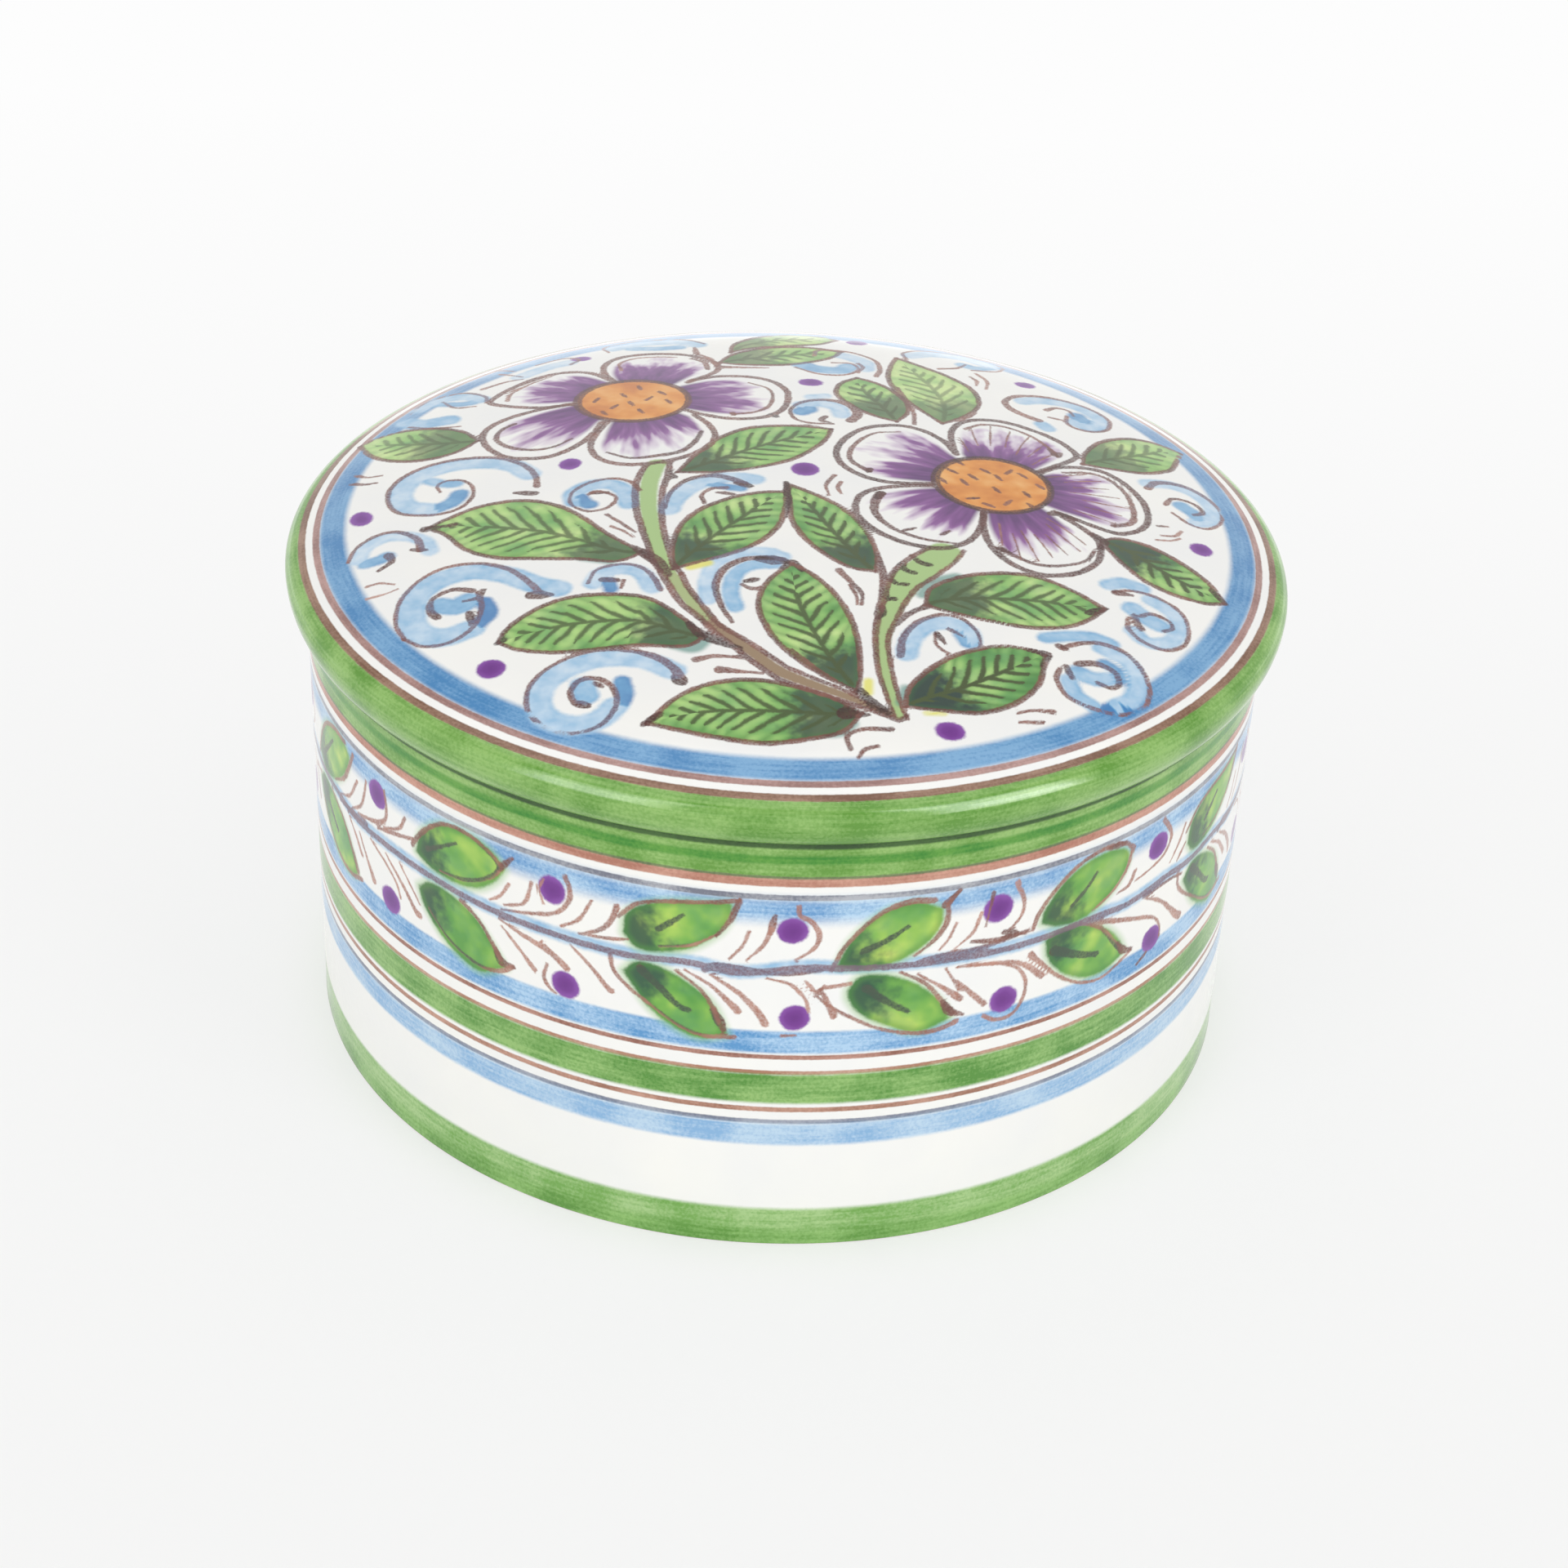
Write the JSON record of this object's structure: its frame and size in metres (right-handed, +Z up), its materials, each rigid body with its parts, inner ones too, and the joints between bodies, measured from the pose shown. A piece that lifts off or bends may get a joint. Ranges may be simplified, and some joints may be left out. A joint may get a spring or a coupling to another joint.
{
  "type": "lidded round box",
  "caption": "Round glazed earthenware box on a foot ring, with a low crowned lift-off lid held in place by a ring inside the mouth.",
  "frame": {"origin": "centre of the foot ring, on the surface the box stands on", "axes": "+Z up along the box's axis; -Y faces the viewer of the picture, +X is to that viewer's right"},
  "size_m": [0.1252, 0.1252, 0.0711],
  "materials": {
    "painted_glaze_body": "glossy tin glaze, hand painted in blue, green, brown and purple",
    "painted_glaze_lid": "glossy tin glaze, hand painted in blue, green, brown and purple"
  },
  "bodies": {
    "box": {"box_body": "painted_glaze_body"},
    "lid": {"lid": "painted_glaze_lid"}
  },
  "joints": [
    {"name": "lid_lift", "type": "slide", "parent": "box", "child": "lid", "axis": [0, 0, 1], "range_m": [0, 0.07]}
  ]
}
